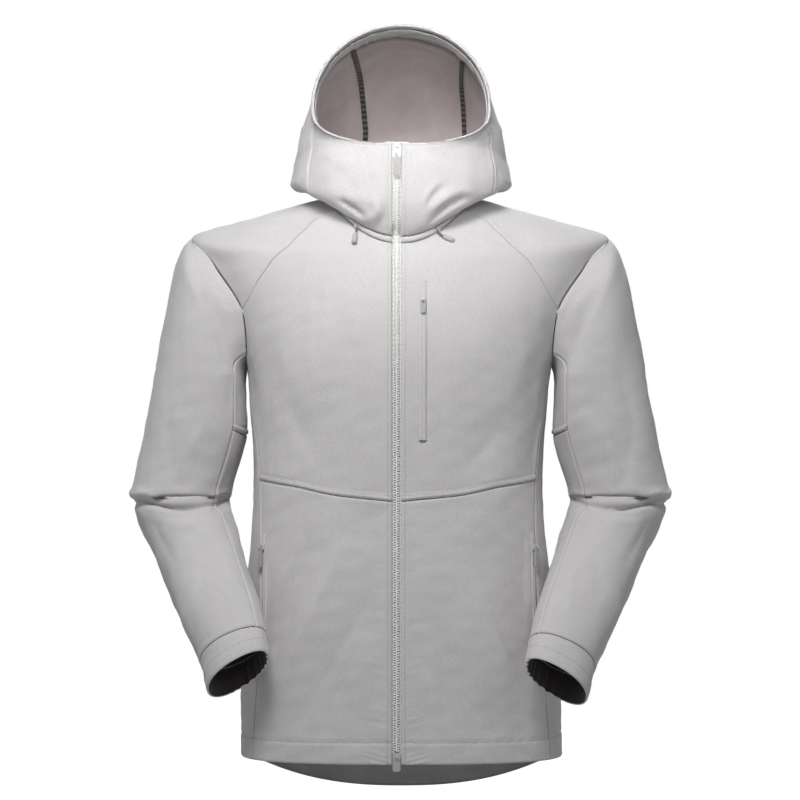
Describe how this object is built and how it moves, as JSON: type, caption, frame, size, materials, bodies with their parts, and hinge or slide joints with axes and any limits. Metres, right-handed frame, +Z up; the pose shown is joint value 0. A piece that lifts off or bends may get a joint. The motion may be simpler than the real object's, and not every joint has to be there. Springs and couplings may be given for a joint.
{
  "type": "softshell jacket",
  "caption": "Hooded softshell jacket, filled out as worn, with a two-way front zip, chest and hand pocket zips, shaped shoulder panels, bent sleeves and a dropped back hem.",
  "frame": {"origin": "middle of the neck opening, at the height where the shoulder line meets the neck", "axes": "+Z up along the jacket's height, -Y out of the front where the zip is, +X towards the wearer's left arm"},
  "size_m": [0.646, 0.3065, 0.9192],
  "materials": {
    "shell_cloth": "matte stretch-woven softshell with a fine brushed face",
    "cuff_cloth": "the same softshell, turned and topstitched",
    "seam_tape": "matte woven binding",
    "zip_tape": "woven tape with moulded teeth",
    "zip_metal": "satin enamelled die casting",
    "pull_plastic": "soft satin",
    "cord": "braided"
  },
  "bodies": {
    "jacket": {"front_left": "shell_cloth", "front_right": "shell_cloth", "lower_front_left": "shell_cloth", "lower_front_right": "shell_cloth", "side_left": "shell_cloth", "side_right": "shell_cloth", "shoulder_left": "shell_cloth", "shoulder_right": "shell_cloth", "back": "shell_cloth", "sleeve_left": "shell_cloth", "sleeve_right": "shell_cloth", "gusset_left": "shell_cloth", "gusset_right": "shell_cloth", "under_sleeve_left": "shell_cloth", "under_sleeve_right": "shell_cloth", "cuff_left": "cuff_cloth", "cuff_right": "cuff_cloth", "neck_band_left": "cuff_cloth", "neck_band_right": "cuff_cloth", "collar_left": "shell_cloth", "collar_right": "shell_cloth", "hood_side_left": "shell_cloth", "hood_side_right": "shell_cloth", "hood_centre": "shell_cloth", "hood_rim": "cuff_cloth", "hood_facing": "cuff_cloth", "seam_tape_left": "seam_tape", "seam_tape_right": "seam_tape", "zip_tape_left": "zip_tape", "zip_tape_right": "zip_tape", "main_slider": "zip_metal", "hem_slider": "zip_metal", "chest_zip": "zip_tape", "chest_slider": "zip_metal", "hand_zip_left": "zip_tape", "hand_zip_right": "zip_tape", "hand_slider_left": "zip_metal", "hand_slider_right": "zip_metal", "drawcord_left": "cord", "drawcord_right": "cord", "cord_end_left": "pull_plastic", "cord_end_right": "pull_plastic", "cord_tab_left": "cuff_cloth", "cord_tab_right": "cuff_cloth"},
    "main_tab": {"main_pull": "pull_plastic"},
    "hem_tab": {"hem_pull": "pull_plastic"},
    "chest_tab": {"chest_pull": "pull_plastic"},
    "hand_tab_left": {"hand_pull_left": "pull_plastic"},
    "hand_tab_right": {"hand_pull_right": "pull_plastic"}
  },
  "joints": [
    {"name": "main_tab_swing", "type": "hinge", "parent": "jacket", "child": "main_tab", "pos_m": [-0.004, -0.1057, 0.042], "axis": [-1, 0, 0], "range_deg": [0, 150]},
    {"name": "hem_tab_swing", "type": "hinge", "parent": "jacket", "child": "hem_tab", "pos_m": [-0.004, -0.1327, -0.659], "axis": [-1, 0, 0], "range_deg": [0, 150]},
    {"name": "chest_tab_swing", "type": "hinge", "parent": "jacket", "child": "chest_tab", "pos_m": [0.02664, -0.12076, -0.13], "axis": [-0.9992, -0.04, 0], "range_deg": [0, 150]},
    {"name": "hand_tab_left_swing", "type": "hinge", "parent": "jacket", "child": "hand_tab_left", "pos_m": [0.16107, -0.0697, -0.41911], "axis": [-0.6098, -0.7926, 0], "range_deg": [0, 150]},
    {"name": "hand_tab_right_swing", "type": "hinge", "parent": "jacket", "child": "hand_tab_right", "pos_m": [-0.16476, -0.06971, -0.41911], "axis": [-0.6098, 0.7926, 0], "range_deg": [0, 150]}
  ]
}
